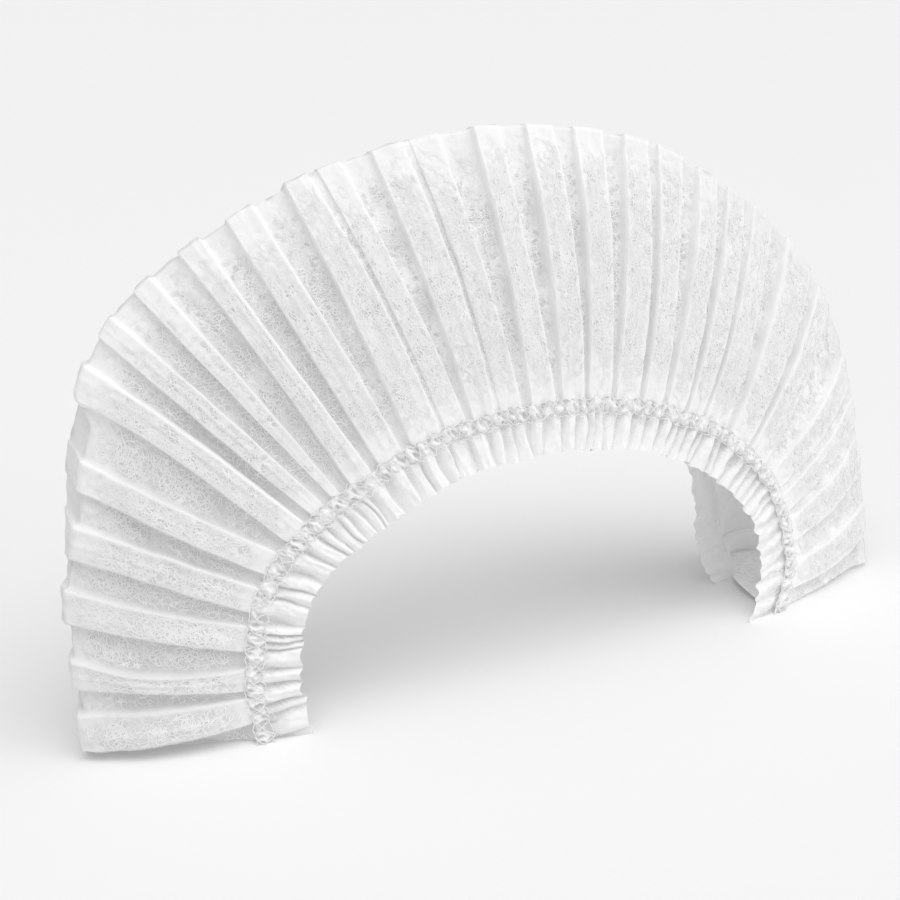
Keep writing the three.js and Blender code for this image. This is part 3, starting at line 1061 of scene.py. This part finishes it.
@dataclass
class LooseStrands:
    """Curled filaments that lie on one wall of the cloth, as thin ribbons."""

    arch: Arch
    cloth: CapCloth
    side: Side
    count: int = 5600
    steps: int = 16
    step: float = 0.4
    width: float = 0.26
    lift: float = 0.09
    climb: float = 0.5
    steepest: float = 0.55
    candidates: int = 18
    spare: int = 3
    seed: int = 90

    def sample(self, grid: np.ndarray, column: np.ndarray, row: np.ndarray) -> np.ndarray:
        """Values between the points of a grid.

        Args:
            grid: Columns by rows, with any further axis.
            column: Places in columns.
            row: Places in rows, in the shape of the columns' places.

        Returns:
            The values there.
        """
        i = np.clip(column.astype(int), 0, grid.shape[0] - 2)
        j = np.clip(row.astype(int), 0, grid.shape[1] - 2)
        extra = (1,) * (grid.ndim - 2)
        u = (column - i).reshape(*column.shape, *extra)
        v = (row - j).reshape(*row.shape, *extra)
        near = grid[i, j] + (grid[i + 1, j] - grid[i, j]) * u
        far = grid[i, j + 1] + (grid[i + 1, j + 1] - grid[i, j + 1]) * u
        return near + (far - near) * v

    def walk(self, shares: np.ndarray, web: np.ndarray, rises: np.ndarray) -> tuple[np.ndarray, np.ndarray]:
        """The strands' curled ways over the wall.

        Args:
            shares: Each column's share of the way along the strip, at the elastic.
            web: How clearly strands show at each point of the wall.
            rises: Each row's reach.

        Returns:
            Places in columns and in rows, each strand by its steps.
        """
        rng = np.random.default_rng(self.seed + self.side.value)
        table = np.linspace(0, 1, 800)
        elastic, fold = self.arch.lines(table)
        pace = [np.linalg.norm(np.gradient(line, table, axis=0), axis=1) for line in (elastic, fold)]
        height = np.linalg.norm(fold - elastic, axis=1)
        share = rng.uniform(0.004, 0.996, self.candidates * self.count)
        reach = rng.uniform(0.05, 0.93, self.candidates * self.count)
        columns, rows = np.arange(len(shares)), np.arange(len(rises))
        shown = self.sample(web, np.interp(share, shares, columns), np.interp(reach, rises, rows))
        kept = np.flatnonzero(rng.uniform(0, 0.9, len(share)) < shown**1.5)[:self.spare * self.count]
        share, reach = share[kept], reach[kept]
        heading = rng.uniform(0, 2 * math.pi, len(kept))
        bend = rng.normal(0, 0.55, len(kept))
        sway, rate, phase = (rng.uniform(a, b, len(kept)) for a, b in ((0.3, 1.5), (0.3, 0.9), (0, 6.3)))
        places = []
        for k in range(self.steps):
            places.append((np.interp(share, shares, columns), np.interp(reach, rises, rows)))
            heading = heading + self.step * (bend + sway * np.sin(rate * k + phase))
            stride = np.interp(share, table, pace[0]) * (1 - reach) + np.interp(share, table, pace[1]) * reach
            share = np.clip(share + self.step * np.cos(heading) / stride, 0.002, 0.998)
            reach = np.clip(reach + self.step * np.sin(heading) / np.interp(share, table, height), 0.03, 0.96)
        column, row = np.array(places).transpose(1, 2, 0)
        return column, row

    def build(self, finish: bpy.types.Material) -> bpy.types.Object:
        """Makes all strands of the wall as one piece.

        Args:
            finish: Their finish.

        Returns:
            The strands.
        """
        points, _, web = self.cloth.points()
        reach = self.cloth.profile()[0]
        first = self.cloth.frill_rows + self.cloth.band_rows
        wall = slice(first, first + self.cloth.wall_rows + 1)
        if self.side is Side.BACK:
            points, web = points[:, ::-1], web[:, ::-1]
        points, web = points[:, wall], web[:, wall]
        creases, _, height, *_ = self.cloth.plan.strips()
        normal = np.cross(np.gradient(points, axis=0), np.gradient(points, axis=1))
        normal *= self.side.value * np.sign(normal[..., 1].mean())
        normal /= np.linalg.norm(normal, axis=-1, keepdims=True) + 1e-9
        column, row = self.walk(creases[:, 0], web, reach[wall])
        level = np.interp(column, np.arange(len(height)), height)
        up = self.sample(normal, column, row)
        path = self.sample(points, column, row) + self.lift * up
        ahead = np.gradient(path, axis=1)
        ahead /= np.linalg.norm(ahead, axis=-1, keepdims=True) + 1e-9
        beside = np.cross(ahead, up)
        beside /= np.linalg.norm(beside, axis=-1, keepdims=True) + 1e-9
        tilt = np.abs(np.cross(beside, ahead)[..., 2]).max(axis=1)
        flat = np.flatnonzero((np.ptp(level, axis=1) < self.climb) & (tilt < self.steepest))[:self.count]
        path, beside = path[flat], beside[flat]
        taper = self.width / 2 * np.sin(math.pi * (np.arange(self.steps) + 0.7) / (self.steps + 0.4)) ** 0.4
        beside *= taper[:, None]
        ribbons = np.stack([path - beside, path + beside], 2)
        faces = grid_faces(self.steps, 2)
        faces = (faces + 2 * self.steps * np.arange(len(path))[:, None, None]).reshape(-1, 4)
        draft = MeshDraft(f"{self.side.name.lower()}_loose_strands")
        draft.add(ribbons, faces)
        piece = draft.build([finish])
        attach(piece, "root")
        return piece


@dataclass
class StitchedElastic:
    """One stitched elastic: puffs of cloth between two threads that cross from cell to cell."""

    arch: Arch
    side: Side
    cells: int = 62
    width: float = 3.9
    seat: float = 0.5
    puff: float = 0.35
    lowest: float = 0.15
    thread: float = 0.16
    crumple: float = 0.9
    cell_columns: int = 14
    puff_rows: int = 13
    sides: int = 6
    seed: int = 40

    def waver(self, share: np.ndarray, length: float, seed: int, across: float = 0.0) -> np.ndarray:
        """Ripples along the elastic.

        Args:
            share: Where they are read.
            length: Their length, in millimetres.
            seed: Their seed.
            across: How far across the elastic they are read, in millimetres.

        Returns:
            Their height at each share.
        """
        return Ripple(length, seed).at(STRIP * share, across)

    def frame(self, share: np.ndarray, offset: np.ndarray, lift: np.ndarray) -> np.ndarray:
        """Points on or above the elastic.

        Args:
            share: One value for each point.
            offset: Distance from the middle of the elastic towards the fold, for each point.
            lift: Distance out of the wall, for each point.

        Returns:
            Rows of x, y and z.
        """
        depth = 0.0 if self.side is Side.FRONT else 1.0
        points, across, _ = self.arch.place(share, np.zeros(1), offset, np.full(1, depth))
        points = points + across * (self.side.value * lift)[:, None]
        points[:, 2] = np.maximum(points[:, 2], self.thread)
        return points

    def tube(self, draft: MeshDraft, path: np.ndarray, radius: float, slot: int) -> None:
        """Adds a round thread along a path.

        Args:
            draft: Where it goes.
            path: Its centre points.
            radius: Its radius.
            slot: Its material slot.
        """
        ahead = np.gradient(path, axis=0)
        ahead /= np.linalg.norm(ahead, axis=1, keepdims=True) + 1e-9
        first = np.cross(ahead, (0.13, -0.8, 0.58))
        first /= np.linalg.norm(first, axis=1, keepdims=True) + 1e-9
        second = np.cross(ahead, first)
        turn = np.linspace(0, 2 * math.pi, self.sides, endpoint=False)
        ring = first[:, None] * np.cos(turn)[:, None] + second[:, None] * np.sin(turn)[:, None]
        draft.add(path[:, None] + radius * ring, grid_faces(len(path), self.sides, True), slot)

    def add_puffs(
        self, draft: MeshDraft, share: np.ndarray, part: np.ndarray, tall: np.ndarray, drift: np.ndarray
    ) -> None:
        """Adds the puffs of cloth between the threads.

        Args:
            draft: Where they go.
            share: Each column's share of the way along the strip.
            part: Its part of the way through its cell.
            tall: How tall its cell's puff is.
            drift: How far the elastic strays there, in millimetres.
        """
        bulge = np.sin(math.pi * part)
        grid, cover = [], []
        for c in np.linspace(0, 1, self.puff_rows):
            offset = (c - 0.5) * self.width * (0.72 + 0.35 * bulge * tall) + drift
            dome = bulge**0.5 * math.sin(math.pi * c) ** 0.5
            fold = np.abs(self.waver(share, 3.4, 51, 0.8 * c * self.width))
            fold = fold + 0.55 * np.abs(self.waver(share, 1.9, 52, 0.8 * c * self.width))
            crumple = self.crumple * (1.0 - fold) * (0.35 + 0.65 * dome)
            lift = np.maximum(self.seat + self.puff * tall * dome + crumple, self.lowest)
            grid.append(self.frame(share, offset, lift))
            # Painted shade: each puff greys towards its edges and in the low pockets of its crumples.
            cover.append(0.3 + 0.75 * dome - 0.7 * ease(0.7, 1.7, fold))
        faces = grid_faces(len(share), self.puff_rows)
        draft.add(np.stack(grid, 1), faces, 0, np.stack(cover, 1).clip(0, 1), 0.15)

    def add_threads(
        self, draft: MeshDraft, share: np.ndarray, part: np.ndarray, way_out: np.ndarray, drift: np.ndarray
    ) -> None:
        """Adds two threads that cross from cell to cell, and one along each edge.

        Args:
            draft: Where they go.
            share: Each column's share of the way along the strip.
            part: Its part of the way through its cell.
            way_out: The sign of the way that the first thread takes in its cell.
            drift: How far the elastic strays there, in millimetres.
        """
        bulge = np.sin(math.pi * part)
        turn = way_out * (1 - np.abs(2 * part - 1)) ** 0.8
        for way in (-1, 1):
            offset = way * 0.53 * self.width * turn + drift + 0.4 * self.waver(share, 4, 60 + way)
            lift = self.seat + 0.75 - 0.55 * bulge + 0.1 * way * np.cos(math.pi * part) * np.sign(turn + 1e-6)
            lift = lift + 0.2 * self.waver(share, 5, 80 + way)
            self.tube(draft, self.frame(share, offset, lift), 0.8 * self.thread, 1)
            offset = way * 0.52 * self.width + drift + 0.35 * self.waver(share, 3, 70 + way)
            lift = self.seat + 0.3 + 0.3 * np.cos(2 * math.pi * part)
            self.tube(draft, self.frame(share, offset, lift), 0.75 * self.thread, 1)

    def build(self, puffs: bpy.types.Material, thread: bpy.types.Material) -> bpy.types.Object:
        """Makes the puffs, the crossing threads and the edge threads as one piece.

        Args:
            puffs: Finish of the cloth between the threads.
            thread: Finish of the threads.

        Returns:
            The elastic.
        """
        name = self.side.name.lower()
        rng = np.random.default_rng(self.seed + self.side.value)
        run = np.concatenate([[0], np.cumsum(rng.uniform(0.6, 1.4, self.cells))])
        edges = run / run[-1]
        step = np.linspace(0, 1, self.cell_columns, endpoint=False)
        share = np.append((edges[:-1, None] + np.diff(edges)[:, None] * step).ravel(), 1.0)
        cell = np.append(np.repeat(np.arange(self.cells), self.cell_columns), self.cells - 1)
        part = np.append(np.tile(step, self.cells), 1.0)
        drift = 0.18 * self.waver(share, 14, 50)
        draft = MeshDraft(f"{name}_elastic_stitch")
        self.add_puffs(draft, share, part, rng.uniform(0.6, 1.2, self.cells)[cell], drift)
        self.add_threads(draft, share, part, np.where(cell % 2 == 0, 1.0, -1.0), drift)
        piece = draft.build([puffs, thread])
        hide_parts(f"{name}_elastic")
        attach(piece, "root")
        return piece


@dataclass
class Studio:
    """A pale floor, soft light and the camera."""

    eye: tuple[float, float, float] = (-186.395, -306.425, 174.69)
    aim: tuple[float, float, float] = (-36.715, -29.755, 68.19)
    focal_px: float = 1449.0
    frame_px: float = 900.0
    sky: float = 0.37
    backdrop: float = 0.91
    key: float = 1.68
    key_angle: float = 65.0
    key_way: tuple[float, float, float] = (0.1, 0.25, -1)
    side: float = 0.9
    side_angle: float = 60.0
    side_way: tuple[float, float, float] = (-0.8, 0.45, -0.4)
    floor_grey: tuple[float, float, float, float] = (0.9, 0.9, 0.9, 1)
    sensor: float = 36.0

    def floor(self) -> bpy.types.Object:
        """The floor that the cap stands on."""
        bpy.ops.object.select_all(action="DESELECT")
        bpy.ops.mesh.primitive_plane_add(size=40)
        floor = bpy.context.object
        floor.name = "floor"
        material, pen, shader = new_material("pale_floor")
        pen.fill(shader, {"Base Color": self.floor_grey, "Roughness": 0.9, "Specular IOR Level": 0.1})
        floor.data.materials.append(material)
        return floor

    def sun(self, name: str, energy: float, angle: float, aim: tuple[float, float, float]) -> None:
        """A broad soft light.

        Args:
            name: Its name.
            energy: Its strength.
            angle: How broad it is, in degrees.
            aim: The way that it shines.
        """
        data = bpy.data.lights.new(name, "SUN")
        data.energy = energy
        data.angle = math.radians(angle)
        lamp = bpy.data.objects.new(name, data)
        lamp.rotation_euler = Vector(aim).to_track_quat("-Z", "Y").to_euler()
        bpy.context.scene.collection.objects.link(lamp)

    def build(self) -> None:
        """Sets up floor, light, camera and picture tone."""
        self.floor()
        scene = bpy.context.scene
        world = bpy.data.worlds.new("sky")
        world.use_nodes = True
        tree = world.node_tree
        seen = tree.nodes.new("ShaderNodeLightPath").outputs["Is Camera Ray"]
        pen = NodePen(tree)
        strength = pen.math("MULTIPLY_ADD", seen, self.backdrop - self.sky, self.sky)
        pen.fill(tree.nodes["Background"], {"Color": (1, 1, 1, 1), "Strength": strength})
        scene.world = world
        self.sun("key", self.key, self.key_angle, self.key_way)
        self.sun("side", self.side, self.side_angle, self.side_way)
        data = bpy.data.cameras.new("camera")
        data.sensor_width = self.sensor
        data.lens = self.sensor * self.focal_px / self.frame_px
        data.clip_start = 0.01
        camera = bpy.data.objects.new("camera", data)
        camera.location = Vector(self.eye) * MM
        camera.rotation_euler = (Vector(self.aim) - Vector(self.eye)).to_track_quat("-Z", "Y").to_euler()
        scene.collection.objects.link(camera)
        scene.camera = camera
        scene.view_settings.view_transform = "Standard"
        scene.cycles.transparent_max_bounces = 24


def main() -> None:
    """Builds the cap and its setting, and notes how many faces each dressed piece has."""
    logging.basicConfig(level=logging.INFO, format="%(name)s: %(message)s")
    arch = Arch()
    cap = CapCloth(arch, PleatPlan())
    pieces = [cap.build(WebFinish("non_woven_web"))]
    puffs = WebFinish("puffed_web", thin_alpha=0.85, thick_alpha=0.97).material()
    thread = ThreadFinish("edge_thread").material()
    strand = ThreadFinish("loose_strand", (0.97, 0.97, 0.97), 0.85).material()
    for side in Side:
        pieces.append(StitchedElastic(arch, side).build(puffs, thread))
        pieces.append(LooseStrands(arch, cap, side).build(strand))
    for piece in pieces:
        LOG.info("%s: %d faces", piece.name, len(piece.data.polygons))
    Studio().build()


if __name__ == "__main__":
    main()
